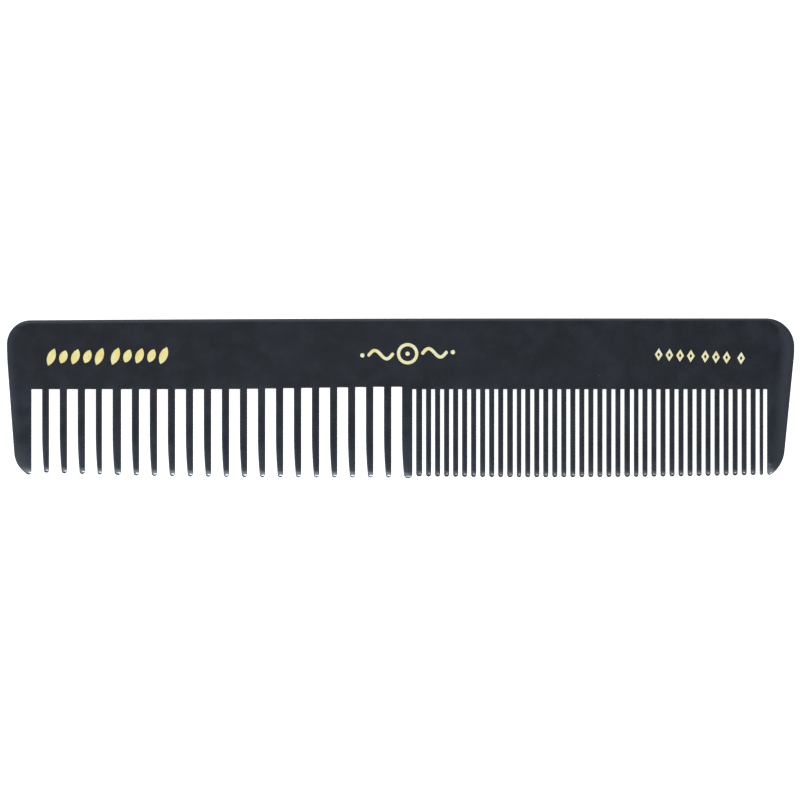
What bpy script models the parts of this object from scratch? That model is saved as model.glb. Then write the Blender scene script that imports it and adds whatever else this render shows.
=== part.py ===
"""Dressing comb with a coarse and a fine row of teeth, and gold ornaments stamped into its spine.

The comb lies on its rear face. +X runs along the spine, from the coarse end to the fine end.
+Y points from the tooth tips to the back edge, and +Z points out of the decorated front face.
The origin is the middle of the comb's overall box, on the rear face. Lengths are in metres.
"""

import math

import bmesh
import bpy

MM = 0.001

# Overall size
LENGTH = 180.0 * MM
SPINE_HEIGHT = 16.25 * MM
TOOTH_LENGTH = 20.35 * MM
THICKNESS = 4.5 * MM

# Spine: its ends curve gently from its corners into raked sides, and its back edge falls a little
# at the coarse end
COARSE_CORNER_RADIUS = 5.45 * MM
FINE_CORNER_RADIUS = 6.45 * MM
COARSE_END_RAKE = math.radians(4.3)
FINE_END_RAKE = math.radians(5.7)
COARSE_FLANK_RADIUS = 70.0 * MM
FINE_FLANK_RADIUS = 30.0 * MM
BACK_FALL = 0.48 * MM
BACK_FALL_START = 38.0 * MM  # +X of the comb's middle

# Guard teeth at the two ends
COARSE_GUARD_WIDTH = 5.65 * MM
FINE_GUARD_WIDTH = 6.27 * MM
COARSE_GUARD_SHORTENING = 0.83 * MM
FINE_GUARD_SHORTENING = 0.77 * MM
COARSE_GUARD_HEEL = 6.2 * MM
FINE_GUARD_HEEL = 7.4 * MM
GUARD_NOSE_RADIUS = 0.6 * MM

# Divider tooth between the rows
DIVIDER_WIDTH = 2.38 * MM
DIVIDER_OFFSET = 1.50 * MM

# Rows of teeth: each row fills the space between its guard and the divider
COARSE_TEETH = 20
COARSE_SLOT = 2.42 * MM
COARSE_SETBACK = 0.17 * MM
COARSE_SHORTENING = 1.50 * MM
FINE_TEETH = 39
FINE_SLOT = 0.85 * MM
FINE_SETBACK = 0.22 * MM
FINE_SHORTENING = 1.75 * MM
FINE_LONGEST = 0.36  # place of the longest tooth, as a share of the way to the fine end
ROOT_RISE = 0.55 * MM
ROOT_RISE_START = 48.5 * MM  # from the coarse end
ROOT_RISE_RUN = 36.0 * MM

# Coarse teeth and the divider are thinned towards the tip on the side that faces the coarse end
RELIEF = 0.40 * MM
RELIEF_LENGTH = 9.0 * MM

# Hand sawing: a row's end teeth differ from the others, and a slot may be out of line.
# Slots are numbered in their row from the coarse end.
COARSE_FIRST_TOOTH_EXTRA = -0.10 * MM
COARSE_LAST_TOOTH_EXTRA = 0.0
COARSE_STRAY_SLOTS = {4: -0.26 * MM}
FINE_FIRST_TOOTH_EXTRA = 0.19 * MM
FINE_LAST_TOOTH_EXTRA = -0.35 * MM
FINE_STRAY_SLOTS = {11: 0.14 * MM, 24: 0.12 * MM}

# Section: flat spine, then a wedge down to the tips
TIP_THICKNESS = 2.0 * MM
WEDGE_LEAD = 1.5 * MM
EDGE_ROUNDING = 0.22 * MM
EDGE_SHARE = 0.55  # most of a tooth tip's radius that the rounding may take

# Stamped foil in its recesses
FOIL_THICKNESS = 0.12 * MM
FOIL_SINK = 0.03 * MM
FOIL_FLOOR_GAP = 0.30 * MM
FOIL_EDGE_GAP = 0.20 * MM

# Leaf ornament at the coarse end: groups of slanted leaves
LEAF_GROUPS = (5, 5)
LEAF_LENGTHS = (4.2 * MM, 3.2 * MM, 3.7 * MM, 3.2 * MM, 4.2 * MM)
LEAF_WIDTH = 1.85 * MM
LEAF_SLANT = math.radians(22.0)
LEAF_SPACING = 0.90 * MM
LEAF_GROUP_GAP = 0.90 * MM
LEAF_TILT = math.radians(0.8)
LEAF_PLACE = 23.0 * MM  # middle of the ornament, from the coarse end

# Scroll ornament at the middle: ring and dot, with a wave and a dot to each side
RING_RADIUS = 2.45 * MM
STROKE_WIDTH = 0.75 * MM
DOT_RADIUS = 0.50 * MM
WAVE_LENGTH = 5.4 * MM
WAVE_HEIGHT = 2.0 * MM
SCROLL_SPACING = 1.0 * MM
SCROLL_TILT = math.radians(2.0)
SCROLL_PLACE = 1.6 * MM  # middle of the ornament, +X of the comb's middle

# Lozenge ornament at the fine end: groups of hollow lozenges
LOZENGE_GROUPS = (4, 3, 1)
LOZENGE_WIDTH = 1.8 * MM
LOZENGE_HEIGHT = 2.9 * MM
LOZENGE_STROKE = 0.50 * MM
LOZENGE_SPACING = 0.65 * MM
LOZENGE_GROUP_GAP = 0.85 * MM
LOZENGE_TILT = math.radians(-2.5)
LOZENGE_PLACE = 21.6 * MM  # middle of the ornament, from the fine end

# Height of each ornament's middle above the tooth roots
LEAF_RISE = 7.55 * MM
SCROLL_RISE = 8.15 * MM
LOZENGE_RISE = 7.55 * MM

# Facets on a tooth tip, on an ornament's half circle, on a corner of the outline, on the back edge
# and across an eased edge, and the cutters' overshoot
TIP_STEPS = 6
HALF_CIRCLE_STEPS = 8
CORNER_STEPS = 8
FLANK_STEPS = 3
BACK_STEPS = 8
EDGE_STEPS = 1
EDGE_ANGLE = math.radians(40.0)
OVERSHOOT = 2.0 * MM

HEIGHT = SPINE_HEIGHT + TOOTH_LENGTH
COARSE_END = -LENGTH / 2
FINE_END = LENGTH / 2
BACK_EDGE = HEIGHT / 2
TIP_LINE = -HEIGHT / 2
ROOT_LINE = TIP_LINE + TOOTH_LENGTH
DIVIDER_LEFT = DIVIDER_OFFSET - DIVIDER_WIDTH / 2
DIVIDER_RIGHT = DIVIDER_OFFSET + DIVIDER_WIDTH / 2


def clear_scene():
    for obj in list(bpy.data.objects):
        bpy.data.objects.remove(obj, do_unlink=True)


def make_collection(name):
    collection = bpy.data.collections.new(name)
    bpy.context.scene.collection.children.link(collection)
    return collection


def make_material(name, colour, roughness, metallic):
    material = bpy.data.materials.new(name)
    material.use_nodes = True
    shader = material.node_tree.nodes["Principled BSDF"]
    shader.inputs["Base Color"].default_value = (*colour, 1.0)
    shader.inputs["Roughness"].default_value = roughness
    shader.inputs["Metallic"].default_value = metallic
    return material


def arc(centre, radius, start, end, steps):
    """Points on an arc, both ends included. Angles are in radians, anticlockwise from +X."""
    points = []
    for step in range(steps + 1):
        angle = start + (end - start) * step / steps
        points.append((centre[0] + radius * math.cos(angle), centre[1] + radius * math.sin(angle)))
    return points


def placed(points, centre, angle):
    """Points turned by an angle and moved to a centre."""
    cosine, sine = math.cos(angle), math.sin(angle)
    return [(centre[0] + x * cosine - y * sine, centre[1] + x * sine + y * cosine) for x, y in points]


def in_ornament(loop, x, centre, tilt):
    """A mark's outline, at a place along its ornament's tilted base line."""
    return placed([(px + x, py) for px, py in loop], centre, tilt)


def solid_from_loops(name, loops, low, high, collection):
    """Mesh object between two heights, filled between closed outlines."""
    curve = bpy.data.curves.new(name + "_outline", "CURVE")
    curve.dimensions = "2D"
    curve.fill_mode = "BOTH"
    curve.extrude = (high - low) / 2
    for loop in loops:
        spline = curve.splines.new("POLY")
        spline.points.add(len(loop) - 1)
        for point, (x, y) in zip(spline.points, loop):
            point.co = (x, y, 0.0, 1.0)
        spline.use_cyclic_u = True
    guide = bpy.data.objects.new(name + "_guide", curve)
    guide.location.z = (low + high) / 2
    collection.objects.link(guide)
    bpy.context.view_layer.update()
    evaluated = guide.evaluated_get(bpy.context.evaluated_depsgraph_get())
    mesh = bpy.data.meshes.new_from_object(evaluated)
    mesh.name = name
    shape = bmesh.new()
    shape.from_mesh(mesh)
    bmesh.ops.remove_doubles(shape, verts=shape.verts, dist=0.001 * MM)
    bmesh.ops.recalc_face_normals(shape, faces=shape.faces)
    shape.to_mesh(mesh)
    shape.free()
    solid = bpy.data.objects.new(name, mesh)
    solid.matrix_world = guide.matrix_world.copy()
    collection.objects.link(solid)
    bpy.data.objects.remove(guide, do_unlink=True)
    bpy.data.curves.remove(curve)
    return solid


def make_cutter(obj):
    obj.hide_render = True
    obj.display_type = "WIRE"


def add_boolean(obj, cutter, operation):
    boolean = obj.modifiers.new(cutter.name, "BOOLEAN")
    boolean.operation = operation
    boolean.solver = "EXACT"
    boolean.object = cutter


def tip_height(x):
    """Y of a tip: the divider is the longest tooth, and each row gets shorter towards its guard.

    The fine row is also a little shorter beside the divider.
    """
    if x < DIVIDER_LEFT:
        share = (DIVIDER_LEFT - x) / (DIVIDER_LEFT - COARSE_END)
        return TIP_LINE + COARSE_SETBACK + COARSE_SHORTENING * share**3
    if x > DIVIDER_RIGHT:
        share = (x - DIVIDER_RIGHT) / (FINE_END - DIVIDER_RIGHT)
        return TIP_LINE + FINE_SETBACK + FINE_SHORTENING * (share - FINE_LONGEST) ** 2
    return TIP_LINE


def coarse_root_height(x):
    """Y of a coarse slot's closed end: the roots climb towards the divider."""
    share = (x - COARSE_END - ROOT_RISE_START) / ROOT_RISE_RUN
    return ROOT_LINE + ROOT_RISE * min(max(share, 0.0), 1.0)


def back_height(x):
    share = (BACK_FALL_START - x) / (BACK_FALL_START - COARSE_END)
    return BACK_EDGE - BACK_FALL * max(share, 0.0) ** 2


def row_slots(start, end, teeth, slot, first_extra, last_extra, strays):
    """(left, right) of each slot in a row, which begins and ends with a slot."""
    tooth = (end - start - (teeth + 1) * slot - first_extra - last_extra) / teeth
    slots = []
    for number in range(teeth + 1):
        left = start + number * (slot + tooth) + strays.get(number, 0.0)
        if number > 0:
            left += first_extra
        if number == teeth:
            left += last_extra
        slots.append((left, left + slot))
    return slots


def tooth_tip(left, right, relief):
    """Outline of a tooth from the start of its relieved left side, round the tip, to its right side."""
    tip = tip_height((left + right) / 2)
    radius = (right - left - relief) / 2
    centre = (right - radius, tip + radius)
    points = []
    if relief > 0.0:
        for share in (0.0, 0.5, 0.8):
            points.append((left + relief * share**2, centre[1] + RELIEF_LENGTH * (1.0 - share)))
    return points + arc(centre, radius, math.pi, 2 * math.pi, TIP_STEPS)


def guard_outline(inner, tip, corner_y, flank, rake, heel):
    """Outline of a guard tooth from the spine's corner to its inner side, as if at the coarse end.

    A long flank arc turns into the raked side, which runs tangent into the heel's arc, and a small
    nose ends the heel.
    """
    inward = (math.cos(rake), math.sin(rake))
    side = arc((COARSE_END + flank, corner_y), flank, math.pi, math.pi + rake, FLANK_STEPS)
    nose = (inner - GUARD_NOSE_RADIUS, tip + GUARD_NOSE_RADIUS)
    start = (side[-1][0] + heel * inward[0], side[-1][1] + heel * inward[1])
    across, above = start[0] - nose[0], start[1] - nose[1]
    along = across * inward[1] - above * inward[0]
    reach = heel - GUARD_NOSE_RADIUS
    run = -along - math.sqrt(along**2 - across**2 - above**2 + reach**2)
    centre = (start[0] + run * inward[1], start[1] - run * inward[0])
    meeting = math.atan2(nose[1] - centre[1], nose[0] - centre[0]) % (2 * math.pi)
    heel_arc = arc(centre, heel, math.pi + rake, meeting, CORNER_STEPS)
    nose_arc = arc(nose, GUARD_NOSE_RADIUS, meeting, 2 * math.pi, TIP_STEPS // 2)
    return side[1:] + heel_arc + nose_arc[1:]


def all_slots():
    """Slots of the coarse row and of the fine row."""
    coarse = row_slots(
        COARSE_END + COARSE_GUARD_WIDTH,
        DIVIDER_LEFT,
        COARSE_TEETH,
        COARSE_SLOT,
        COARSE_FIRST_TOOTH_EXTRA,
        COARSE_LAST_TOOTH_EXTRA,
        COARSE_STRAY_SLOTS,
    )
    fine = row_slots(
        DIVIDER_RIGHT,
        FINE_END - FINE_GUARD_WIDTH,
        FINE_TEETH,
        FINE_SLOT,
        FINE_FIRST_TOOTH_EXTRA,
        FINE_LAST_TOOTH_EXTRA,
        FINE_STRAY_SLOTS,
    )
    return coarse, fine


def tooth_spans():
    """(left, right, relief) of each tooth between the guards."""
    coarse, fine = all_slots()
    slots = coarse + fine
    spans = []
    for number in range(len(slots) - 1):
        relief = RELIEF if number < len(coarse) else 0.0
        spans.append((slots[number][1], slots[number + 1][0], relief))
    return spans


def edge_rounding():
    """Rounding of the plate's edges, which the narrowest tooth tip may limit."""
    narrowest = min(right - left - relief for left, right, relief in tooth_spans()) / 2
    return min(EDGE_ROUNDING, EDGE_SHARE * narrowest)


def comb_outline():
    """The comb's whole outline, anticlockwise from the coarse guard's heel."""
    coarse_x = COARSE_END + COARSE_CORNER_RADIUS
    coarse_corner = (coarse_x, back_height(coarse_x) - COARSE_CORNER_RADIUS)
    fine_corner = (FINE_END - FINE_CORNER_RADIUS, BACK_EDGE - FINE_CORNER_RADIUS)
    coarse, fine = all_slots()
    slots = coarse + fine
    spans = tooth_spans()

    points = guard_outline(
        COARSE_END + COARSE_GUARD_WIDTH,
        TIP_LINE + COARSE_GUARD_SHORTENING,
        coarse_corner[1],
        COARSE_FLANK_RADIUS,
        COARSE_END_RAKE,
        COARSE_GUARD_HEEL,
    )
    for number, (left, right) in enumerate(slots):
        root = coarse_root_height(left) if number < len(coarse) else ROOT_LINE
        points += [(left, root), (right, root)]
        if number < len(spans):
            points += tooth_tip(*spans[number])

    guard = guard_outline(
        FINE_GUARD_WIDTH - FINE_END,
        TIP_LINE + FINE_GUARD_SHORTENING,
        fine_corner[1],
        FINE_FLANK_RADIUS,
        FINE_END_RAKE,
        FINE_GUARD_HEEL,
    )
    points += [(-x, y) for x, y in reversed(guard)]
    points += arc(fine_corner, FINE_CORNER_RADIUS, 0.0, math.pi / 2, CORNER_STEPS)
    for step in range(1, BACK_STEPS):
        x = fine_corner[0] + (coarse_corner[0] - fine_corner[0]) * step / BACK_STEPS
        points.append((x, back_height(x)))
    points += arc(coarse_corner, COARSE_CORNER_RADIUS, math.pi / 2, math.pi, CORNER_STEPS)
    return points


def make_section_cutter(collection):
    """Prism along X with the comb's section: parallel faces on the spine, then a wedge to the tips."""
    wedge_top = ROOT_LINE + WEDGE_LEAD
    slope = (THICKNESS - TIP_THICKNESS) / 2 / (wedge_top - TIP_LINE)
    inset = slope * (wedge_top - TIP_LINE + OVERSHOOT)
    section = [
        (BACK_EDGE + OVERSHOOT, 0.0),
        (BACK_EDGE + OVERSHOOT, THICKNESS),
        (wedge_top, THICKNESS),
        (TIP_LINE - OVERSHOOT, THICKNESS - inset),
        (TIP_LINE - OVERSHOOT, inset),
        (wedge_top, 0.0),
    ]
    shape = bmesh.new()
    corners = [shape.verts.new((COARSE_END - OVERSHOOT, y, z)) for y, z in section]
    end_face = shape.faces.new(corners)
    extruded = bmesh.ops.extrude_face_region(shape, geom=[end_face])
    moved = [item for item in extruded["geom"] if isinstance(item, bmesh.types.BMVert)]
    bmesh.ops.translate(shape, verts=moved, vec=(LENGTH + 2 * OVERSHOOT, 0.0, 0.0))
    bmesh.ops.recalc_face_normals(shape, faces=shape.faces)
    mesh = bpy.data.meshes.new("section_prism")
    shape.to_mesh(mesh)
    shape.free()
    prism = bpy.data.objects.new("section_prism", mesh)
    collection.objects.link(prism)
    make_cutter(prism)
    return prism


def leaf_outline(length, margin):
    """Pointed leaf between two equal arcs, upright about its own middle, grown by a margin."""
    half_length, half_width = length / 2, LEAF_WIDTH / 2
    radius = (half_length**2 + half_width**2) / (2 * half_width)
    offset = radius - half_width
    radius += margin
    sweep = math.acos(offset / radius)
    right = arc((-offset, 0.0), radius, -sweep, sweep, HALF_CIRCLE_STEPS)
    left = arc((offset, 0.0), radius, math.pi - sweep, math.pi + sweep, HALF_CIRCLE_STEPS)
    return right[:-1] + left[:-1]


def lozenge_outline(margin):
    """Lozenge about its own middle, its sides moved out by a margin."""
    half_width, half_height = LOZENGE_WIDTH / 2, LOZENGE_HEIGHT / 2
    grown = 1 + margin * math.hypot(half_width, half_height) / (half_width * half_height)
    return [
        (half_width * grown, 0.0),
        (0.0, half_height * grown),
        (-half_width * grown, 0.0),
        (0.0, -half_height * grown),
    ]


def wave_outline(margin):
    """One wave of a round-ended stroke about its own middle."""
    steps = 3 * HALF_CIRCLE_STEPS
    half_stroke = STROKE_WIDTH / 2 + margin
    spine = []
    for step in range(steps + 1):
        turn = 2 * math.pi * step / steps
        slope = math.atan(math.pi * WAVE_HEIGHT / WAVE_LENGTH * math.cos(turn))
        spine.append((WAVE_LENGTH * (step / steps - 0.5), WAVE_HEIGHT / 2 * math.sin(turn), slope))
    lower = []
    upper = []
    for x, y, slope in spine[1:-1]:
        lower.append((x + half_stroke * math.sin(slope), y - half_stroke * math.cos(slope)))
        upper.append((x - half_stroke * math.sin(slope), y + half_stroke * math.cos(slope)))
    x, y, slope = spine[-1]
    far_end = arc((x, y), half_stroke, slope - math.pi / 2, slope + math.pi / 2, HALF_CIRCLE_STEPS)
    x, y, slope = spine[0]
    near_end = arc((x, y), half_stroke, slope + math.pi / 2, slope + 1.5 * math.pi, HALF_CIRCLE_STEPS)
    return lower + far_end + upper[::-1] + near_end


def circle(radius):
    return arc((0.0, 0.0), radius, 0.0, 2 * math.pi, 3 * HALF_CIRCLE_STEPS)[:-1]


def row_places(groups, pitch, gap):
    """X of each mark in a row of groups, about the row's own middle."""
    places = []
    x = 0.0
    for count in groups:
        for _ in range(count):
            places.append(x)
            x += pitch
        x += gap
    middle = (places[0] + places[-1]) / 2
    return [place - middle for place in places]


def leaf_marks():
    """(name, outline loops of the foil, outline loops of its recess) of each leaf."""
    centre = (COARSE_END + LEAF_PLACE, ROOT_LINE + LEAF_RISE)
    marks = []
    for number, x in enumerate(row_places(LEAF_GROUPS, LEAF_WIDTH + LEAF_SPACING, LEAF_GROUP_GAP)):
        length = LEAF_LENGTHS[number % len(LEAF_LENGTHS)]
        foil, recess = [
            in_ornament(placed(leaf_outline(length, margin), (0.0, 0.0), -LEAF_SLANT), x, centre, LEAF_TILT)
            for margin in (0.0, FOIL_EDGE_GAP)
        ]
        marks.append((f"foil_leaf_{number + 1}", [foil], [recess]))
    return marks


def scroll_marks():
    centre = (SCROLL_PLACE, ROOT_LINE + SCROLL_RISE)
    wave_x = RING_RADIUS + SCROLL_SPACING + WAVE_LENGTH / 2
    dot_x = wave_x + WAVE_LENGTH / 2 + SCROLL_SPACING + DOT_RADIUS
    gap = FOIL_EDGE_GAP
    bore = RING_RADIUS - STROKE_WIDTH
    shapes = [
        ("foil_ring", 0.0, [circle(RING_RADIUS), circle(bore)], [circle(RING_RADIUS + gap), circle(bore - gap)]),
        ("foil_ring_dot", 0.0, [circle(DOT_RADIUS)], [circle(DOT_RADIUS + gap)]),
    ]
    for side, sign in (("coarse", -1), ("fine", 1)):
        shapes.append((f"foil_wave_{side}", sign * wave_x, [wave_outline(0.0)], [wave_outline(gap)]))
        shapes.append((f"foil_dot_{side}", sign * dot_x, [circle(DOT_RADIUS)], [circle(DOT_RADIUS + gap)]))
    marks = []
    for name, x, foil, recess in shapes:
        foil = [in_ornament(loop, x, centre, SCROLL_TILT) for loop in foil]
        recess = [in_ornament(loop, x, centre, SCROLL_TILT) for loop in recess]
        marks.append((name, foil, recess))
    return marks


def lozenge_marks():
    centre = (FINE_END - LOZENGE_PLACE, ROOT_LINE + LOZENGE_RISE)
    marks = []
    pitch = LOZENGE_WIDTH + LOZENGE_SPACING
    for number, x in enumerate(row_places(LOZENGE_GROUPS, pitch, LOZENGE_GROUP_GAP)):
        outer, inner, recess = [
            in_ornament(lozenge_outline(margin), x, centre, LOZENGE_TILT)
            for margin in (0.0, -LOZENGE_STROKE, FOIL_EDGE_GAP)
        ]
        marks.append((f"foil_lozenge_{number + 1}", [outer, inner], [recess]))
    return marks


def make_comb_body(collection, cutters, marks, material):
    """The plate: its sawn outline, ground to the section, edges eased, then recessed for the foil."""
    body = solid_from_loops("comb_body", [comb_outline()], -OVERSHOOT, THICKNESS + OVERSHOOT, collection)
    add_boolean(body, make_section_cutter(cutters), "INTERSECT")
    rounding = body.modifiers.new("eased_edges", "BEVEL")
    rounding.width = edge_rounding()
    rounding.segments = EDGE_STEPS
    rounding.limit_method = "ANGLE"
    rounding.angle_limit = EDGE_ANGLE
    rounding.use_clamp_overlap = False
    top = THICKNESS - FOIL_SINK
    floor = top - FOIL_THICKNESS - FOIL_FLOOR_GAP
    recesses = [loop for _, _, recess in marks for loop in recess]
    recess_cutter = solid_from_loops("foil_recesses", recesses, floor, THICKNESS + OVERSHOOT, cutters)
    make_cutter(recess_cutter)
    add_boolean(body, recess_cutter, "DIFFERENCE")
    body.data.materials.append(material)
    return body


def make_foil(marks, collection, material):
    top = THICKNESS - FOIL_SINK
    for name, foil, _ in marks:
        piece = solid_from_loops(name, foil, top - FOIL_THICKNESS, top, collection)
        piece.data.materials.append(material)


def main():
    clear_scene()
    comb = make_collection("hair_comb")
    cutters = make_collection("cutters")
    marks = leaf_marks() + scroll_marks() + lozenge_marks()
    make_comb_body(comb, cutters, marks, make_material("black_resin", (0.020, 0.024, 0.031), 0.30, 0.0))
    make_foil(marks, comb, make_material("gold_foil", (0.90, 0.74, 0.27), 0.32, 1.0))


main()
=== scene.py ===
import bisect
import math

import bmesh
import bpy
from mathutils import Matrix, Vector, noise


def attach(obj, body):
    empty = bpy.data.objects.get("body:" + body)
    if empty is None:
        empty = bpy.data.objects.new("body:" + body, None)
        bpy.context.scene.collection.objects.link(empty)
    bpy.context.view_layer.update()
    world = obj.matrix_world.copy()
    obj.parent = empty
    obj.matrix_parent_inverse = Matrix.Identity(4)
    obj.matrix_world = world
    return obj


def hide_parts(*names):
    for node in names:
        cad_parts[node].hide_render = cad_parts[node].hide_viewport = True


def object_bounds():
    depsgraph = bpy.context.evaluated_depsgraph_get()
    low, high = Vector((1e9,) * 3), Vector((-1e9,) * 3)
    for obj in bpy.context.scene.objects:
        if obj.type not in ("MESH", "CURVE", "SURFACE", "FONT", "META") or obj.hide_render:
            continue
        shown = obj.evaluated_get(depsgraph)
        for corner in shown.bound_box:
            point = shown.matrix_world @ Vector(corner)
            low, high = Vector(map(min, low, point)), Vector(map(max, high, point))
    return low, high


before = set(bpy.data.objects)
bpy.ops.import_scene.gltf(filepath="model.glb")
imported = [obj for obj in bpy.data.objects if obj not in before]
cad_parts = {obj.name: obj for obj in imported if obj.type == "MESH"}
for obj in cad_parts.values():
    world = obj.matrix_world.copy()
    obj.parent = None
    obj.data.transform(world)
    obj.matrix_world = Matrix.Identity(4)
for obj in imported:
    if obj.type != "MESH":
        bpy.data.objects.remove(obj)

CAD_LOW, CAD_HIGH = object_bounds()
MM = 0.001

# Overall box and thickness, from the frame
COARSE_END, TIP_LINE, REAR_FACE = CAD_LOW
FINE_END, BACK_EDGE, FRONT_FACE = CAD_HIGH
THICKNESS = FRONT_FACE - REAR_FACE
MIDDLE_Z = (FRONT_FACE + REAR_FACE) / 2

# Plan of the comb, as in the CAD
TOOTH_LENGTH = 20.35 * MM
ROOT_LINE = TIP_LINE + TOOTH_LENGTH
COARSE_CORNER_RADIUS = 5.45 * MM
FINE_CORNER_RADIUS = 6.45 * MM
COARSE_END_RAKE = math.radians(4.3)
FINE_END_RAKE = math.radians(5.7)
COARSE_FLANK_RADIUS = 70.0 * MM
FINE_FLANK_RADIUS = 30.0 * MM
BACK_FALL = 0.48 * MM
BACK_FALL_START = 38.0 * MM
COARSE_GUARD_WIDTH = 5.65 * MM
FINE_GUARD_WIDTH = 6.27 * MM
COARSE_GUARD_SHORTENING = 0.83 * MM
FINE_GUARD_SHORTENING = 0.77 * MM
COARSE_GUARD_HEEL = 6.2 * MM
FINE_GUARD_HEEL = 7.4 * MM
GUARD_NOSE_RADIUS = 0.6 * MM
DIVIDER_WIDTH = 2.38 * MM
DIVIDER_OFFSET = 1.50 * MM
DIVIDER_LEFT = DIVIDER_OFFSET - DIVIDER_WIDTH / 2
DIVIDER_RIGHT = DIVIDER_OFFSET + DIVIDER_WIDTH / 2
COARSE_TEETH = 20
COARSE_SLOT = 2.42 * MM
COARSE_SETBACK = 0.17 * MM
COARSE_SHORTENING = 1.50 * MM
FINE_TEETH = 39
FINE_SLOT = 0.85 * MM
FINE_SETBACK = 0.22 * MM
FINE_SHORTENING = 1.75 * MM
FINE_LONGEST = 0.36
ROOT_RISE = 0.55 * MM
ROOT_RISE_START = 48.5 * MM
ROOT_RISE_RUN = 36.0 * MM
RELIEF = 0.40 * MM
RELIEF_LENGTH = 9.0 * MM
COARSE_FIRST_TOOTH_EXTRA = -0.10 * MM
COARSE_STRAY_SLOTS = {4: -0.26 * MM}  # slot number: how far it was sawn off its even place
FINE_FIRST_TOOTH_EXTRA = 0.19 * MM
FINE_LAST_TOOTH_EXTRA = -0.35 * MM
FINE_STRAY_SLOTS = {11: 0.14 * MM, 24: 0.12 * MM}

# Fillets at the closed ends of the slots, which the CAD leaves square
ROOT_FILLET = 0.08 * MM

# Section of the comb. Reaches are in metres, and drops are shares of the thickness
TIP_THICKNESS = 2.0 * MM
WEDGE_TOP = ROOT_LINE + 1.5 * MM
WEDGE_BLEND = 4.0 * MM
EDGE_RADIUS = 0.15 * MM
SIDE_TOLERANCE = EDGE_RADIUS / 4  # a point this far left of a tooth still counts as on it
NOSE_LENGTH = 1.5 * MM
NOSE_DEPTH = 0.80  # share of the squared thickness that is gone at a tooth's very tip
COARSE_TAPER = (9.0 * MM, 0.40)  # reach and drop of the soft curve down to the tips
FINE_TAPER = (6.0 * MM, 0.24)
TOOTH_CROWN = 0.05
CROWN_FADE = 4.0 * MM
BACK_ROLL_COARSE = (1.15 * MM, 0.13)  # reach and drop at the coarse end, and at the fine end
BACK_ROLL_FINE = (0.65 * MM, 0.09)
COARSE_ROLL = (2.6 * MM, 0.11)
FINE_ROLL = (4.4 * MM, 0.34)
ROLL_ZONE = 11.0 * MM  # nothing further in from the ends and the back than these two is rolled
BACK_ZONE = 2.0 * MM
ROLL_SHARPNESS = 2.2  # power of the roll's curve
END_SHARPNESS = 1.5  # power of the change from the back's roll to an end's, as the edge turns
HAND_WAVE = 0.010 * MM
HAND_WAVE_SCALE = 70.0

# Foil
FOIL_TOP = FRONT_FACE - 0.03 * MM
FOIL_THICKNESS = 0.10 * MM
FOIL_EDGE_RADIUS = 0.03 * MM
RECESS_MARGIN = 0.02 * MM
CUTTER_RISE = 1.0 * MM

# Stamped marks, as in the CAD
LEAF_GROUPS = (5, 5)
LEAF_LENGTHS = (4.2 * MM, 3.2 * MM, 3.7 * MM, 3.2 * MM, 4.2 * MM)
LEAF_WIDTH = 1.85 * MM
LEAF_SLANT = math.radians(22.0)
LEAF_SPACING = 0.90 * MM
LEAF_GROUP_GAP = 0.90 * MM
LEAF_TILT = math.radians(0.8)
LEAF_PLACE = 23.0 * MM
LEAF_RISE = 7.55 * MM
RING_RADIUS = 2.45 * MM
STROKE_WIDTH = 0.75 * MM
DOT_RADIUS = 0.50 * MM
WAVE_LENGTH = 5.4 * MM
WAVE_HEIGHT = 2.0 * MM
SCROLL_SPACING = 1.0 * MM
SCROLL_TILT = math.radians(2.0)
SCROLL_PLACE = 1.6 * MM
SCROLL_RISE = 8.15 * MM
LOZENGE_GROUPS = (4, 3, 1)
LOZENGE_WIDTH = 1.8 * MM
LOZENGE_HEIGHT = 2.9 * MM
LOZENGE_STROKE = 0.50 * MM
LOZENGE_SPACING = 0.65 * MM
LOZENGE_GROUP_GAP = 0.85 * MM
LOZENGE_TILT = math.radians(-2.5)
LOZENGE_PLACE = 21.6 * MM
LOZENGE_RISE = 7.55 * MM

# Mesh: joining distance, steps round edges and along outlines, angles between faces, weight of large faces
JOIN_WITHIN = 0.0005 * MM
EDGE_SEGMENTS = 4
FOIL_EDGE_SEGMENTS = 2
TIP_STEPS = 14
CORNER_STEPS = 22
FLANK_STEPS = 6
BACK_STEPS = 48
RELIEF_STEPS = 6
ROOT_STEPS = 3
MARK_STEPS = 20
FLAT_BELOW = math.radians(1.0)
ROUNDED_ABOVE = math.radians(40.0)
SHARP_ABOVE = math.radians(50.0)
LARGE_FACE_WEIGHT = 100

# Cuts through the plate: (from, to, furthest apart), closest together where its thickness changes fastest
LEVEL_CUTS = (
    (TIP_LINE + 0.1 * MM, TIP_LINE + 3.8 * MM, 0.17 * MM),
    (TIP_LINE + 3.8 * MM, WEDGE_TOP - 1.4 * MM, 1.5 * MM),
    (WEDGE_TOP - 1.4 * MM, WEDGE_TOP + 1.4 * MM, 0.28 * MM),
    (WEDGE_TOP + 1.4 * MM, BACK_EDGE - BACK_ZONE, 1.6 * MM),
    (BACK_EDGE - BACK_ZONE, BACK_EDGE - 0.3 * MM, 0.16 * MM),
)
END_CUTS = (
    (COARSE_END + 0.4 * MM, COARSE_END + 5.0 * MM, 0.42 * MM),
    (FINE_END - 5.6 * MM, FINE_END - 0.4 * MM, 0.42 * MM),
)

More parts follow.
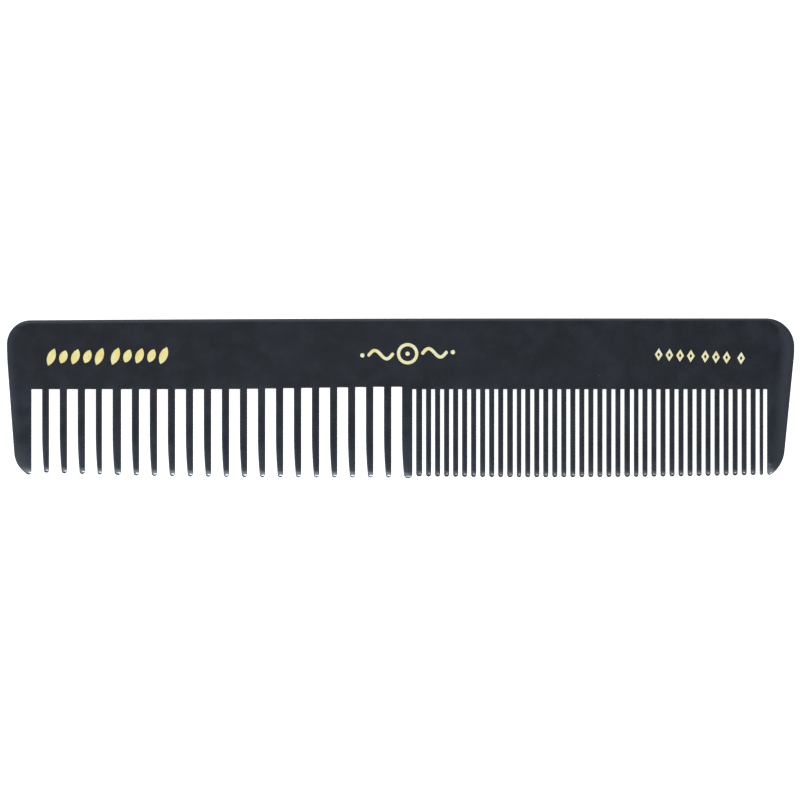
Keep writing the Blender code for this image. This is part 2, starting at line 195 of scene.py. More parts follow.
# Resin: linear colours, roughness from least to most, features a metre, ranges of the noise, bump depths
RESIN_DARK = (0.0058, 0.0066, 0.0078, 1.0)
RESIN_LIGHT = (0.0096, 0.0108, 0.0126, 1.0)
RESIN_GRAIN = (0.0140, 0.0154, 0.0178, 1.0)
RESIN_SPECK = (0.060, 0.065, 0.072, 1.0)
RESIN_IOR = 1.54
RESIN_ROUGHNESS = (0.20, 0.29)
SAWN_ROUGHNESS = 0.16  # added on the sawn sides
SAWN_BELOW = (0.20, 0.03)  # from here to here, the upward share of the normal makes a face a sawn side
CLOUD_SCALE = 70.0
CLOUD_RANGE = (0.35, 0.65)
HAZE_SCALE = 240.0
HAZE_RANGE = (0.30, 0.70)
GRAIN_SCALE = 1400.0
GRAIN_RANGE = (0.30, 0.70)
GRAIN_SHARE = 0.35
SPECK_SCALE = 170.0
SPECK_SIZE = 0.030
SKIN_SCALE = 1900.0
SKIN_DEPTH = 0.0018 * MM
BUFFING_STRETCH = (260.0, 6500.0, 6500.0)
BUFFING_DEPTH = 0.0008 * MM
SAW_STRETCH = (300.0, 900.0, 5200.0)
SAW_DEPTH = 0.02 * MM

# Worn, shiny tips: their height, the width of their start beside the fine guard tooth, and their coat
BURNISH_HEIGHT = 3.0 * MM
BURNISH_EDGE = 0.2 * MM
BURNISH_ROUGHNESS = 0.12
BURNISH_IOR = 1.6

# Foil: as above
FOIL_PALE = (1.0, 0.91, 0.56, 1.0)
FOIL_DEEP = (1.0, 0.82, 0.34, 1.0)
LEAF_PALE = (1.0, 0.86, 0.38, 1.0)
LEAF_DEEP = (1.0, 0.76, 0.22, 1.0)
FOIL_WORN = (0.45, 0.34, 0.12, 1.0)
FOIL_ROUGHNESS = (0.44, 0.58)
FOIL_METALLIC = 0.55
FOIL_CLOUD_SCALE = 420.0
FOIL_CLOUD_RANGE = (0.32, 0.68)
FOIL_HAZE_SCALE = 1500.0
PINHOLE_SCALE = 2300.0
PINHOLE_SIZE = 0.16
DIE_GRAIN_SCALE = 5200.0
DIE_GRAIN_DEPTH = 0.012 * MM

# Light from the sky: (Z of the direction, colour), from the horizon up
SKY = (
    (0.0, (1.0, 1.0, 1.0)),
    (0.10, (0.82, 0.84, 0.87)),
    (0.25, (0.46, 0.49, 0.54)),
    (0.65, (0.50, 0.54, 0.60)),
    (0.82, (0.74, 0.82, 0.95)),
    (0.90, (0.78, 0.92, 1.15)),
    (0.94, (0.72, 0.87, 1.12)),
    (0.972, (0.42, 0.50, 0.64)),
    (0.990, (0.235, 0.265, 0.315)),
    (1.0, (0.190, 0.210, 0.240)),
)
# Lamps: (name, place, size, radiance, colour)
LIGHTS = (
    ("tip_light", (0.10, -0.95, 0.95), (0.22, 0.14), 30.0, (0.96, 0.98, 1.0)),
    ("back_softbox", (-0.06, 0.45, 0.50), (0.70, 0.22), 0.9, (0.90, 0.94, 1.0)),
    ("front_softbox", (-0.10, -0.29, 0.45), (0.60, 0.30), 1.4, (0.72, 0.86, 1.0)),
    ("overhead_softbox", (-0.035, 0.0, 0.80), (0.11, 0.20), 0.16, (0.95, 1.0, 1.0)),
)
FLOOR_REACH = 3.0
FLOOR_GAP = 0.05 * MM
FLOOR_COLOUR = (0.80, 0.80, 0.80, 1.0)
FLOOR_ROUGHNESS = 0.9
FLOOR_GLOW = 0.95

# Camera: straight above, with the whole comb in its frame
FRAME_WIDTH = 182.83 * MM
AIM = (-0.14 * MM, -0.38 * MM)
CAMERA_HEIGHT = 0.6
CAMERA_REACH = 10.0


def arc(centre, radius, start, end, steps):
    """Points on an arc, both ends included. Angles are in radians, anticlockwise from +X."""
    points = []
    for step in range(steps + 1):
        angle = start + (end - start) * step / steps
        points.append((centre[0] + radius * math.cos(angle), centre[1] + radius * math.sin(angle)))
    return points


def placed(points, centre, angle):
    cosine, sine = math.cos(angle), math.sin(angle)
    return [(centre[0] + x * cosine - y * sine, centre[1] + x * sine + y * cosine) for x, y in points]


# ---------------------------------------------------------------- plan of the comb


def tip_height(x):
    if x < DIVIDER_LEFT:
        share = (DIVIDER_LEFT - x) / (DIVIDER_LEFT - COARSE_END)
        return TIP_LINE + COARSE_SETBACK + COARSE_SHORTENING * share**3
    if x > DIVIDER_RIGHT:
        share = (x - DIVIDER_RIGHT) / (FINE_END - DIVIDER_RIGHT)
        return TIP_LINE + FINE_SETBACK + FINE_SHORTENING * (share - FINE_LONGEST) ** 2
    return TIP_LINE


def root_height(x):
    if x > DIVIDER_LEFT:
        return ROOT_LINE
    share = (x - COARSE_END - ROOT_RISE_START) / ROOT_RISE_RUN
    return ROOT_LINE + ROOT_RISE * min(max(share, 0.0), 1.0)


def back_height(x):
    share = (BACK_FALL_START - x) / (BACK_FALL_START - COARSE_END)
    return BACK_EDGE - BACK_FALL * max(share, 0.0) ** 2


def row_slots(start, end, teeth, slot, first_extra, last_extra, strays):
    tooth = (end - start - (teeth + 1) * slot - first_extra - last_extra) / teeth
    slots = []
    for number in range(teeth + 1):
        left = start + number * (slot + tooth) + strays.get(number, 0.0)
        if number > 0:
            left += first_extra
        if number == teeth:
            left += last_extra
        slots.append((left, left + slot))
    return slots


COARSE_SLOTS = row_slots(
    COARSE_END + COARSE_GUARD_WIDTH,
    DIVIDER_LEFT,
    COARSE_TEETH,
    COARSE_SLOT,
    COARSE_FIRST_TOOTH_EXTRA,
    0.0,
    COARSE_STRAY_SLOTS,
)
FINE_SLOTS = row_slots(
    DIVIDER_RIGHT,
    FINE_END - FINE_GUARD_WIDTH,
    FINE_TEETH,
    FINE_SLOT,
    FINE_FIRST_TOOTH_EXTRA,
    FINE_LAST_TOOTH_EXTRA,
    FINE_STRAY_SLOTS,
)
SLOTS = COARSE_SLOTS + FINE_SLOTS


def teeth():
    """(left, right, tip, relief) of each tooth, guards included."""
    spans = [(COARSE_END, SLOTS[0][0], TIP_LINE + COARSE_GUARD_SHORTENING, 0.0)]
    for number in range(len(SLOTS) - 1):
        left, right = SLOTS[number][1], SLOTS[number + 1][0]
        relief = RELIEF if number < len(COARSE_SLOTS) else 0.0
        spans.append((left, right, tip_height((left + right) / 2), relief))
    spans.append((SLOTS[-1][1], FINE_END, TIP_LINE + FINE_GUARD_SHORTENING, 0.0))
    return spans


TEETH = teeth()


def tooth_tip(left, right, tip, relief):
    """Outline of a tooth from its relieved left side, round the tip, to its right side."""
    radius = (right - left - relief) / 2
    centre = (right - radius, tip + radius)
    points = []
    if relief > 0.0:
        for step in range(RELIEF_STEPS):
            share = step / RELIEF_STEPS
            points.append((left + relief * share**2, centre[1] + RELIEF_LENGTH * (1.0 - share)))
    return points + arc(centre, radius, math.pi, 2 * math.pi, TIP_STEPS)


def slot_root(left, right):
    """Closed end of a slot, from its left side to its right side, with small fillets."""
    root = root_height(left)
    radius = ROOT_FILLET
    first = arc((left + radius, root - radius), radius, math.pi, math.pi / 2, ROOT_STEPS)
    last = arc((right - radius, root - radius), radius, math.pi / 2, 0.0, ROOT_STEPS)
    return first + last


def guard_outline(inner, tip, corner_y, flank, rake, heel):
    """Outline of a guard tooth from the spine's corner to its inner side, as if at the coarse end."""
    inward = (math.cos(rake), math.sin(rake))
    side = arc((COARSE_END + flank, corner_y), flank, math.pi, math.pi + rake, FLANK_STEPS)
    nose = (inner - GUARD_NOSE_RADIUS, tip + GUARD_NOSE_RADIUS)
    start = (side[-1][0] + heel * inward[0], side[-1][1] + heel * inward[1])
    across, above = start[0] - nose[0], start[1] - nose[1]
    along = across * inward[1] - above * inward[0]
    reach = heel - GUARD_NOSE_RADIUS
    run = -along - math.sqrt(along**2 - across**2 - above**2 + reach**2)
    centre = (start[0] + run * inward[1], start[1] - run * inward[0])
    meeting = math.atan2(nose[1] - centre[1], nose[0] - centre[0]) % (2 * math.pi)
    heel_arc = arc(centre, heel, math.pi + rake, meeting, CORNER_STEPS)
    nose_arc = arc(nose, GUARD_NOSE_RADIUS, meeting, 2 * math.pi, TIP_STEPS // 2)
    return side[1:] + heel_arc + nose_arc[1:]


def comb_outline():
    """(outline, its outer stretch): anticlockwise, and the part that isn't teeth or slots."""
    coarse_x = COARSE_END + COARSE_CORNER_RADIUS
    coarse_corner = (coarse_x, back_height(coarse_x) - COARSE_CORNER_RADIUS)
    fine_corner = (FINE_END - FINE_CORNER_RADIUS, BACK_EDGE - FINE_CORNER_RADIUS)
    coarse_guard = guard_outline(
        SLOTS[0][0],
        TEETH[0][2],
        coarse_corner[1],
        COARSE_FLANK_RADIUS,
        COARSE_END_RAKE,
        COARSE_GUARD_HEEL,
    )
    fine_guard = guard_outline(
        -SLOTS[-1][1],
        TEETH[-1][2],
        fine_corner[1],
        FINE_FLANK_RADIUS,
        FINE_END_RAKE,
        FINE_GUARD_HEEL,
    )
    inner = []
    for number, (left, right) in enumerate(SLOTS):
        inner += slot_root(left, right)
        if number + 1 < len(SLOTS):
            inner += tooth_tip(*TEETH[number + 1])
    outer = [(-x, y) for x, y in reversed(fine_guard)]
    outer += arc(fine_corner, FINE_CORNER_RADIUS, 0.0, math.pi / 2, CORNER_STEPS)
    for step in range(1, BACK_STEPS):
        x = fine_corner[0] + (coarse_corner[0] - fine_corner[0]) * step / BACK_STEPS
        outer.append((x, back_height(x)))
    outer += arc(coarse_corner, COARSE_CORNER_RADIUS, math.pi / 2, math.pi, CORNER_STEPS)
    outer += coarse_guard
    return inner + outer, outer


# ---------------------------------------------------------------- section of the comb


class OuterEdge:
    """Distance from a point to the comb's outer edge, and which way that edge faces."""

    def __init__(self, outer):
        self.spans = []
        for (ax, ay), (bx, by) in zip(outer, outer[1:]):
            length = math.hypot(bx - ax, by - ay)
            if length > 0.0:
                self.spans.append((ax, ay, (bx - ax) / length, (by - ay) / length, length))

    def nearest(self, x, y):
        best = (math.inf, 0.0)
        for ax, ay, ux, uy, length in self.spans:
            along = min(max((x - ax) * ux + (y - ay) * uy, 0.0), length)
            distance = math.hypot(x - ax - along * ux, y - ay - along * uy)
            if distance < best[0]:
                best = (distance, uy)
        return best


def smooth_minimum(a, b, blend):
    gap = max(blend - abs(a - b), 0.0) / blend
    return min(a, b) - gap * gap * blend / 4


def wedge_share(y):
    """Thickness at y as a share of the spine's, falling evenly from the wedge's top to the tips."""
    slope = (1.0 - TIP_THICKNESS / THICKNESS) / (WEDGE_TOP - TIP_LINE)
    straight = 1.0 - slope * (WEDGE_TOP - y)
    return smooth_minimum(1.0, straight, slope * WEDGE_BLEND)


TOOTH_STARTS = [span[0] for span in TEETH]


def tooth_at(x):
    return TEETH[max(bisect.bisect_right(TOOTH_STARTS, x + SIDE_TOLERANCE) - 1, 0)]


def nose_share(x, y):
    """Rounding of a tooth's tip in thickness."""
    _, _, tip, _ = tooth_at(x)
    depth = (y - tip) / NOSE_LENGTH
    if depth >= 1.0:
        return 1.0
    depth = max(depth, 0.0)
    return math.sqrt(max(1.0 - NOSE_DEPTH * (1.0 - depth) ** 2, 0.0))


def taper_share(x, y):
    """Soft curve of the faces down to the tips, longer on the coarse teeth."""
    reach, drop = COARSE_TAPER if x < DIVIDER_RIGHT else FINE_TAPER
    near = 1.0 - (y - TIP_LINE) / reach
    return 1.0 - drop * max(near, 0.0) ** 2


def crown_share(x, y):
    """Slight crown across each tooth, fading out into the spine."""
    left, right, _, _ = tooth_at(x)
    fade = min(max((ROOT_LINE - y) / CROWN_FADE, 0.0), 1.0)
    across = (2 * x - left - right) / (right - left)
    return 1.0 - TOOTH_CROWN * fade * min(across * across, 1.0)


def roll_share(edge, x, y):
    """Soft rounding of the faces towards the back edge and the two ends."""
    if COARSE_END + ROLL_ZONE < x < FINE_END - ROLL_ZONE and y < BACK_EDGE - BACK_ZONE:
        return 1.0
    distance, run = edge.nearest(x, y)
    along = (x - COARSE_END) / (FINE_END - COARSE_END)
    end = FINE_ROLL if x > 0.0 else COARSE_ROLL
    facing = min(abs(run) ** END_SHARPNESS, 1.0)
    back = [coarse + (fine - coarse) * along for coarse, fine in zip(BACK_ROLL_COARSE, BACK_ROLL_FINE)]
    reach, drop = [side + (limit - side) * facing for side, limit in zip(back, end)]
    if distance >= reach:
        return 1.0
    inward = 1.0 - distance / reach
    return 1.0 - drop * inward**ROLL_SHARPNESS


def shaped(edge, x, y, z):
    """A point of the even plate moved to the comb's real surface."""
    share = wedge_share(y) * taper_share(x, y) * nose_share(x, y)
    share *= crown_share(x, y) * roll_share(edge, x, y)
    wave = noise.noise(Vector((x, y, 0.0)) * HAND_WAVE_SCALE) * HAND_WAVE
    side = (z - MIDDLE_Z) / (THICKNESS / 2)
    depth = THICKNESS / 2 * share - abs(wave) - HAND_WAVE / 4
    return MIDDLE_Z + side * depth


# ---------------------------------------------------------------- mesh helpers


def object_from_bmesh(name, shape):
    mesh = bpy.data.meshes.new(name)
    shape.to_mesh(mesh)
    shape.free()
    obj = bpy.data.objects.new(name, mesh)
    bpy.context.scene.collection.objects.link(obj)
    return obj


def apply_modifiers(obj):
    """Bakes an object's modifiers into its mesh."""
    evaluated = obj.evaluated_get(bpy.context.evaluated_depsgraph_get())
    mesh = bpy.data.meshes.new_from_object(evaluated)
    old = obj.data
    obj.modifiers.clear()
    obj.data = mesh
    bpy.data.meshes.remove(old)


def round_edges(obj, width, segments):
    rounding = obj.modifiers.new("rounding", "BEVEL")
    rounding.width = width
    rounding.segments = segments
    rounding.limit_method = "ANGLE"
    rounding.angle_limit = ROUNDED_ABOVE
    rounding.use_clamp_overlap = False


def solid_from_loops(name, loops, low, high):
    """Closed mesh object between two heights, filled between closed outlines."""
    curve = bpy.data.curves.new(name + "_outline", "CURVE")
    curve.dimensions = "2D"
    curve.fill_mode = "BOTH"
    curve.extrude = (high - low) / 2
    for loop in loops:
        spline = curve.splines.new("POLY")
        spline.points.add(len(loop) - 1)
        for point, (x, y) in zip(spline.points, loop):
            point.co = (x, y, 0.0, 1.0)
        spline.use_cyclic_u = True
    guide = bpy.data.objects.new(name + "_guide", curve)
    bpy.context.scene.collection.objects.link(guide)
    bpy.context.view_layer.update()
    mesh = bpy.data.meshes.new_from_object(guide.evaluated_get(bpy.context.evaluated_depsgraph_get()))
    shape = bmesh.new()
    shape.from_mesh(mesh)
    bpy.data.meshes.remove(mesh)
    bpy.data.objects.remove(guide, do_unlink=True)
    bpy.data.curves.remove(curve)
    bmesh.ops.translate(shape, verts=shape.verts, vec=(0.0, 0.0, (low + high) / 2))
    bmesh.ops.remove_doubles(shape, verts=shape.verts, dist=JOIN_WITHIN)
    bmesh.ops.dissolve_limit(shape, angle_limit=FLAT_BELOW, verts=[], edges=shape.edges, delimit=set())
    bmesh.ops.recalc_face_normals(shape, faces=shape.faces)
    return object_from_bmesh(name, shape)


# ---------------------------------------------------------------- outlines of the stamped marks


def leaf_outline(length, margin):
    """Pointed leaf between two equal arcs, upright about its own middle, grown by a margin."""
    half_length, half_width = length / 2, LEAF_WIDTH / 2
    radius = (half_length**2 + half_width**2) / (2 * half_width)
    offset = radius - half_width
    radius += margin
    sweep = math.acos(offset / radius)
    right = arc((-offset, 0.0), radius, -sweep, sweep, MARK_STEPS)
    left = arc((offset, 0.0), radius, math.pi - sweep, math.pi + sweep, MARK_STEPS)
    return right[:-1] + left[:-1]


def lozenge_outline(margin):
    half_width, half_height = LOZENGE_WIDTH / 2, LOZENGE_HEIGHT / 2
    grown = 1 + margin * math.hypot(half_width, half_height) / (half_width * half_height)
    return [
        (half_width * grown, 0.0),
        (0.0, half_height * grown),
        (-half_width * grown, 0.0),
        (0.0, -half_height * grown),
    ]


def wave_outline(margin):
    """One wave of a round-ended stroke about its own middle."""
    steps = 3 * MARK_STEPS
    half_stroke = STROKE_WIDTH / 2 + margin
    spine = []
    for step in range(steps + 1):
        turn = 2 * math.pi * step / steps
        slope = math.atan(math.pi * WAVE_HEIGHT / WAVE_LENGTH * math.cos(turn))
        spine.append((WAVE_LENGTH * (step / steps - 0.5), WAVE_HEIGHT / 2 * math.sin(turn), slope))
    lower = []
    upper = []
    for x, y, slope in spine[1:-1]:
        lower.append((x + half_stroke * math.sin(slope), y - half_stroke * math.cos(slope)))
        upper.append((x - half_stroke * math.sin(slope), y + half_stroke * math.cos(slope)))
    x, y, slope = spine[-1]
    far_end = arc((x, y), half_stroke, slope - math.pi / 2, slope + math.pi / 2, MARK_STEPS)
    x, y, slope = spine[0]
    near_end = arc((x, y), half_stroke, slope + math.pi / 2, slope + 1.5 * math.pi, MARK_STEPS)
    return lower + far_end + upper[::-1] + near_end


def circle(radius):
    return arc((0.0, 0.0), radius, 0.0, 2 * math.pi, 3 * MARK_STEPS)[:-1]


def row_places(groups, pitch, gap):
    """X of each mark in a row of groups, about the row's own middle."""
    places = []
    x = 0.0
    for count in groups:
        for _ in range(count):
            places.append(x)
            x += pitch
        x += gap
    middle = (places[0] + places[-1]) / 2
    return [place - middle for place in places]


def in_ornament(loops, x, centre, tilt):
    """A mark's outlines, at a place along its ornament's tilted base line."""
    return [placed([(px + x, py) for px, py in loop], centre, tilt) for loop in loops]


def leaf_marks():
    """(CAD node, outlines of its foil, outlines of its recess) of each leaf."""
    centre = (COARSE_END + LEAF_PLACE, ROOT_LINE + LEAF_RISE)
    marks = []
    for number, x in enumerate(row_places(LEAF_GROUPS, LEAF_WIDTH + LEAF_SPACING, LEAF_GROUP_GAP)):
        length = LEAF_LENGTHS[number % len(LEAF_LENGTHS)]
        foil, recess = [
            in_ornament([placed(leaf_outline(length, margin), (0.0, 0.0), -LEAF_SLANT)], x, centre, LEAF_TILT)
            for margin in (0.0, RECESS_MARGIN)
        ]
        marks.append((f"foil_leaf_{number + 1}", foil, recess))
    return marks


def scroll_marks():
    """(CAD node, outlines of its foil, outlines of its recess) of the ring, the waves and the dots."""
    centre = (SCROLL_PLACE, ROOT_LINE + SCROLL_RISE)
    wave_x = RING_RADIUS + SCROLL_SPACING + WAVE_LENGTH / 2
    dot_x = wave_x + WAVE_LENGTH / 2 + SCROLL_SPACING + DOT_RADIUS
    gap = RECESS_MARGIN
    bore = RING_RADIUS - STROKE_WIDTH
    rings = ([circle(RING_RADIUS), circle(bore)], [circle(RING_RADIUS + gap), circle(bore - gap)])
    dots = ([circle(DOT_RADIUS)], [circle(DOT_RADIUS + gap)])
    shapes = [("foil_ring", 0.0, *rings), ("foil_ring_dot", 0.0, *dots)]
    for side, sign in (("coarse", -1), ("fine", 1)):
        shapes.append((f"foil_wave_{side}", sign * wave_x, [wave_outline(0.0)], [wave_outline(gap)]))
        shapes.append((f"foil_dot_{side}", sign * dot_x, *dots))
    return [
        (name, in_ornament(foil, x, centre, SCROLL_TILT), in_ornament(recess, x, centre, SCROLL_TILT))
        for name, x, foil, recess in shapes
    ]


def lozenge_marks():
    """(CAD node, outlines of its foil, outlines of its recess) of each lozenge."""
    centre = (FINE_END - LOZENGE_PLACE, ROOT_LINE + LOZENGE_RISE)
    gap = RECESS_MARGIN
    foil = [lozenge_outline(0.0), lozenge_outline(-LOZENGE_STROKE)]
    recess = [lozenge_outline(gap), lozenge_outline(-LOZENGE_STROKE - gap)]
    marks = []
    places = row_places(LOZENGE_GROUPS, LOZENGE_WIDTH + LOZENGE_SPACING, LOZENGE_GROUP_GAP)
    for number, x in enumerate(places):
        marks.append(
            (
                f"foil_lozenge_{number + 1}",
                in_ornament(foil, x, centre, LOZENGE_TILT),
                in_ornament(recess, x, centre, LOZENGE_TILT),
            )
        )
    return marks


# ---------------------------------------------------------------- the two kinds of piece


def even_plate(outline):
    """The plate at its full thickness all over, its edges rounded."""
    shape = bmesh.new()
    corners = [shape.verts.new((x, y, REAR_FACE)) for x, y in outline]
    rear = shape.faces.new(corners)
    extruded = bmesh.ops.extrude_face_region(shape, geom=[rear])
    moved = [item for item in extruded["geom"] if isinstance(item, bmesh.types.BMVert)]
    bmesh.ops.translate(shape, verts=moved, vec=(0.0, 0.0, THICKNESS))
    bmesh.ops.recalc_face_normals(shape, faces=shape.faces)
    plate = object_from_bmesh("comb_plate", shape)
    round_edges(plate, EDGE_RADIUS, EDGE_SEGMENTS)
    apply_modifiers(plate)
    return plate


def stamp_recesses(plate, marks):
    """Cuts the recesses that hold the foil."""
    loops = [loop for _, _, recess in marks for loop in recess]
    low, high = FOIL_TOP - FOIL_THICKNESS, FRONT_FACE + CUTTER_RISE
    cutter = solid_from_loops("recess_cutter", loops, low, high)
    cut = plate.modifiers.new("recesses", "BOOLEAN")
    cut.operation = "DIFFERENCE"
    cut.solver = "EXACT"
    cut.object = cutter
    apply_modifiers(plate)
    bpy.data.objects.remove(cutter, do_unlink=True)


def spread(low, high, step):
    """Even levels from low to high, no further apart than a step."""
    count = max(math.ceil((high - low) / step), 1)
    return [low + (high - low) * number / count for number in range(count + 1)]


def cut_levels():
    """Y of the cuts across the plate."""
    return sorted({level for limits in LEVEL_CUTS for level in spread(*limits)})


def cut_places():
    """X of the cuts along the plate: one up each tooth, and close together at the rolled ends."""
    places = [(left + right) / 2 for left, right, _, _ in TEETH[1:-1]]
    for limits in END_CUTS:
        places += spread(*limits)
    return places


def cut_plate(plate):
    """Cuts the plate's faces up finely enough to bend to the comb's section."""
    shape = bmesh.new()
    shape.from_mesh(plate.data)
    cuts = ((cut_levels(), Vector((0.0, 1.0, 0.0))), (cut_places(), Vector((1.0, 0.0, 0.0))))
    for places, normal in cuts:
        for place in places:
            everything = list(shape.verts) + list(shape.edges) + list(shape.faces)
            bmesh.ops.bisect_plane(
                shape,
                geom=everything,
                dist=JOIN_WITHIN,
                plane_co=normal * place,
                plane_no=normal,
            )
    # Some faces with many corners fold back on themselves if they are left for the export to split.
    bmesh.ops.triangulate(shape, faces=[face for face in shape.faces if len(face.verts) > 4])
    shape.to_mesh(plate.data)
    shape.free()


def finish_surface(obj):
    """Smooth shading that keeps flat faces flat and sharp edges sharp."""
    obj.data.shade_smooth()
    obj.data.set_sharp_from_angle(angle=SHARP_ABOVE)
    weighting = obj.modifiers.new("weighting", "WEIGHTED_NORMAL")
    weighting.keep_sharp = True
    weighting.weight = LARGE_FACE_WEIGHT
    apply_modifiers(obj)


def shape_surface(obj, edge):
    """Moves each point of an even solid to the comb's real surface."""
    for vertex in obj.data.vertices:
        x, y, z = vertex.co
        vertex.co.z = shaped(edge, x, y, z)


def make_plate(marks, edge, outline, material):
    plate = even_plate(outline)
    stamp_recesses(plate, marks)
    cut_plate(plate)
    shape_surface(plate, edge)
    finish_surface(plate)
    plate.data.materials.append(material)
    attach(plate, "root")
    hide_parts("comb_body")


def make_foils(marks, edge, material):
    for node, loops, _ in marks:
        foil = solid_from_loops(node.replace("foil", "stamped"), loops, FOIL_TOP - FOIL_THICKNESS, FOIL_TOP)
        round_edges(foil, FOIL_EDGE_RADIUS, FOIL_EDGE_SEGMENTS)
        apply_modifiers(foil)
        shape_surface(foil, edge)
        finish_surface(foil)
        foil.data.materials.append(material)
        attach(foil, "root")
        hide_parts(node)


# ---------------------------------------------------------------- materials


class Shader:
    """A material's node tree, with short calls to add to it."""

    def __init__(self, name):
        self.material = bpy.data.materials.new(name)
        self.material.use_nodes = True
        self.tree = self.material.node_tree
        self.surface = self.tree.nodes["Principled BSDF"]
        self.place = self.add("ShaderNodeTexCoord").outputs["Object"]

    def add(self, kind, inputs=None, **settings):
        node = self.tree.nodes.new(kind)
        for name, value in settings.items():
            setattr(node, name, value)
        for name, value in (inputs or {}).items():
            self.feed(node.inputs[name], value)
        return node

    def feed(self, socket, value):
        if isinstance(value, bpy.types.NodeSocket):
            self.tree.links.new(value, socket)
        else:
            socket.default_value = value

    def scaled_place(self, stretch):
        return self.add("ShaderNodeMapping", {"Vector": self.place, "Scale": stretch}).outputs[0]

    def noise(self, scale, detail=3.0, stretch=(1.0, 1.0, 1.0)):
        """Noise from 0 to 1. The scale is in features a metre."""
        place = self.scaled_place(stretch)
        inputs = {"Vector": place, "Scale": scale, "Detail": detail}
        return self.add("ShaderNodeTexNoise", inputs).outputs["Fac"]

    def specks(self, scale, size):
        """1 inside scattered soft round specks, 0 elsewhere."""
        cells = self.add("ShaderNodeTexVoronoi", {"Vector": self.place, "Scale": scale})
        return self.fade(cells.outputs["Distance"], size, size / 2)

    def fade(self, value, low, high, low_out=0.0, high_out=1.0):
        """The value's range low to high carried over to low_out to high_out, with soft ends."""
        node = self.add("ShaderNodeMapRange", interpolation_type="SMOOTHSTEP")
        for name, number in (
            ("Value", value),
            ("From Min", low),
            ("From Max", high),
            ("To Min", low_out),
            ("To Max", high_out),
        ):
            self.feed(node.inputs[name], number)
        return node.outputs["Result"]

    def maths(self, operation, first, second=0.0):
        node = self.add("ShaderNodeMath", operation=operation)
        self.feed(node.inputs[0], first)
        self.feed(node.inputs[1], second)
        return node.outputs[0]

    def mixed(self, share, first, second):
        node = self.add("ShaderNodeMix", data_type="RGBA")
        for socket, value in ((node.inputs[0], share), (node.inputs[6], first), (node.inputs[7], second)):
            self.feed(socket, value)
        return node.outputs[2]

    def raised(self, height, depth, normal=None):
        """A bump whose height of 1 is depth metres."""
        inputs = {"Height": height, "Distance": depth, "Strength": 1.0}
        if normal is not None:
            inputs["Normal"] = normal
        return self.add("ShaderNodeBump", inputs).outputs["Normal"]


def sidewards(shader):
    """1 on the sawn sides of the teeth, 0 on the ground faces."""
    normal = shader.add("ShaderNodeNewGeometry").outputs["Normal"]
    upward = shader.add("ShaderNodeSeparateXYZ", {"Vector": normal}).outputs["Z"]
    return shader.fade(shader.maths("ABSOLUTE", upward), *SAWN_BELOW)


def burnished(shader):
    """1 on the worn, shiny tips of the coarse and guard teeth, 0 elsewhere, fading across the divider."""
    place = shader.add("ShaderNodeSeparateXYZ", {"Vector": shader.place}).outputs
    guard_side = FINE_END - FINE_GUARD_WIDTH
    coarse = shader.fade(place["X"], DIVIDER_RIGHT, DIVIDER_LEFT)
    guard = shader.fade(place["X"], guard_side - BURNISH_EDGE, guard_side)
    tip = shader.fade(place["Y"], TIP_LINE + BURNISH_HEIGHT, TIP_LINE + BURNISH_HEIGHT / 3)
    return shader.maths("MULTIPLY", shader.maths("MAXIMUM", coarse, guard), tip)


def black_resin():
    """Near-black hard resin: mottled, buffed along its length, with sawn sides and a few specks."""
    shader = Shader("black_resin_polished")
    sides = sidewards(shader)
    cloud = shader.fade(shader.noise(CLOUD_SCALE, detail=4.0), *CLOUD_RANGE)
    grain = shader.fade(shader.noise(GRAIN_SCALE, detail=2.0), *GRAIN_RANGE)
    body = shader.mixed(cloud, RESIN_DARK, RESIN_LIGHT)
    body = shader.mixed(shader.maths("MULTIPLY", grain, GRAIN_SHARE), body, RESIN_GRAIN)
    body = shader.mixed(shader.specks(SPECK_SCALE, SPECK_SIZE), body, RESIN_SPECK)
    shader.feed(shader.surface.inputs["Base Color"], body)

    rough = shader.fade(shader.noise(HAZE_SCALE), *HAZE_RANGE, *RESIN_ROUGHNESS)
    rough = shader.maths("ADD", rough, shader.maths("MULTIPLY", sides, SAWN_ROUGHNESS))
    shader.feed(shader.surface.inputs["Roughness"], rough)

    buffing = shader.raised(shader.noise(1.0, detail=2.0, stretch=BUFFING_STRETCH), BUFFING_DEPTH)
    skin = shader.raised(shader.noise(SKIN_SCALE, detail=2.0), SKIN_DEPTH, buffing)
    saw = shader.maths("MULTIPLY", shader.noise(1.0, detail=2.0, stretch=SAW_STRETCH), sides)
    shader.feed(shader.surface.inputs["Normal"], shader.raised(saw, SAW_DEPTH, skin))
    shader.surface.inputs["IOR"].default_value = RESIN_IOR
    shader.feed(shader.surface.inputs["Coat Weight"], burnished(shader))
    shader.surface.inputs["Coat Roughness"].default_value = BURNISH_ROUGHNESS
    shader.surface.inputs["Coat IOR"].default_value = BURNISH_IOR
    return shader.material


def gold_foil(name, deep, pale):
    """Hot-stamped foil: pale gold, grainy from the die, a little deeper in places, with a few pinholes."""
    shader = Shader(name)
    cloud = shader.fade(shader.noise(FOIL_CLOUD_SCALE), *FOIL_CLOUD_RANGE)
    body = shader.mixed(cloud, deep, pale)
    body = shader.mixed(shader.specks(PINHOLE_SCALE, PINHOLE_SIZE), body, FOIL_WORN)
    shader.feed(shader.surface.inputs["Base Color"], body)
    rough = shader.fade(shader.noise(FOIL_HAZE_SCALE), *HAZE_RANGE, *FOIL_ROUGHNESS)
    shader.feed(shader.surface.inputs["Roughness"], rough)
    grain = shader.raised(shader.noise(DIE_GRAIN_SCALE), DIE_GRAIN_DEPTH)
    shader.feed(shader.surface.inputs["Normal"], grain)
    shader.surface.inputs["Metallic"].default_value = FOIL_METALLIC
    return shader.material


# ---------------------------------------------------------------- stage, light and camera


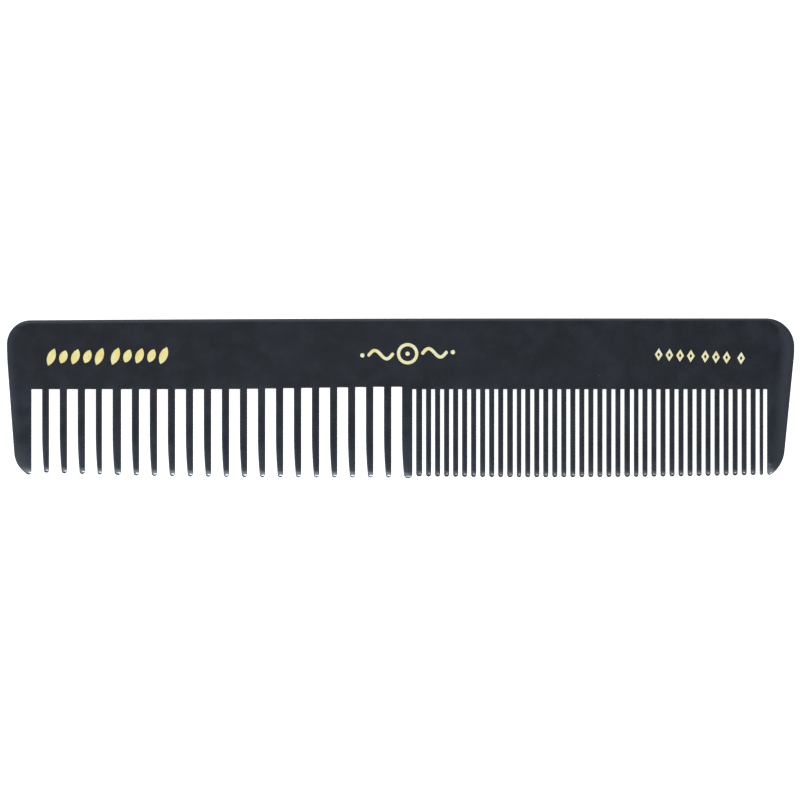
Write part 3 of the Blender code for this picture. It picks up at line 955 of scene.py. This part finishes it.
def make_floor():
    """Large pale floor that glows a little, so that it stays evenly white under the comb."""
    shape = bmesh.new()
    bmesh.ops.create_grid(shape, x_segments=1, y_segments=1, size=FLOOR_REACH)
    bmesh.ops.translate(shape, verts=shape.verts, vec=(0.0, 0.0, REAR_FACE - FLOOR_GAP))
    floor = object_from_bmesh("studio_floor", shape)
    shader = Shader("pale_floor")
    shader.surface.inputs["Base Color"].default_value = FLOOR_COLOUR
    shader.surface.inputs["Roughness"].default_value = FLOOR_ROUGHNESS
    shader.surface.inputs["Emission Color"].default_value = (1.0, 1.0, 1.0, 1.0)
    shader.surface.inputs["Emission Strength"].default_value = FLOOR_GLOW
    floor.data.materials.append(shader.material)


def make_world():
    """Soft light from all round: dim overhead, pale round that, greyer lower down, white at the horizon."""
    world = bpy.data.worlds.new("studio")
    bpy.context.scene.world = world
    world.use_nodes = True
    nodes, links = world.node_tree.nodes, world.node_tree.links
    height = nodes.new("ShaderNodeSeparateXYZ")
    links.new(nodes.new("ShaderNodeTexCoord").outputs["Generated"], height.inputs[0])
    ramp = nodes.new("ShaderNodeValToRGB")
    links.new(height.outputs["Z"], ramp.inputs["Fac"])
    links.new(ramp.outputs["Color"], nodes["Background"].inputs["Color"])
    stops = ramp.color_ramp.elements
    while len(stops) < len(SKY):
        stops.new(0.5)
    for stop, (place, colour) in zip(stops, SKY):
        stop.position = place
        stop.color = (*colour, 1.0)


def make_light(name, place, size, radiance, colour):
    """Rectangular lamp aimed at the comb's middle."""
    lamp = bpy.data.lights.new(name, "AREA")
    lamp.shape = "RECTANGLE"
    lamp.size, lamp.size_y = size
    lamp.energy = radiance * math.pi * size[0] * size[1]
    lamp.color = colour
    obj = bpy.data.objects.new(name, lamp)
    obj.location = place
    obj.rotation_euler = (-Vector(place)).to_track_quat("-Z", "Y").to_euler()
    bpy.context.scene.collection.objects.link(obj)


def make_camera():
    camera = bpy.data.cameras.new("camera")
    camera.type = "ORTHO"
    camera.ortho_scale = FRAME_WIDTH
    camera.clip_end = CAMERA_REACH
    obj = bpy.data.objects.new("camera", camera)
    obj.location = (*AIM, CAMERA_HEIGHT)
    bpy.context.scene.collection.objects.link(obj)
    bpy.context.scene.camera = obj


def main():
    outline, outer = comb_outline()
    edge = OuterEdge(outer)
    leaves, others = leaf_marks(), scroll_marks() + lozenge_marks()
    make_plate(leaves + others, edge, outline, black_resin())
    make_foils(leaves, edge, gold_foil("gold_foil_leaves", LEAF_DEEP, LEAF_PALE))
    make_foils(others, edge, gold_foil("gold_foil_stamped", FOIL_DEEP, FOIL_PALE))
    make_floor()
    make_world()
    for light in LIGHTS:
        make_light(*light)
    make_camera()
    bpy.context.scene.view_settings.view_transform = "Standard"


main()
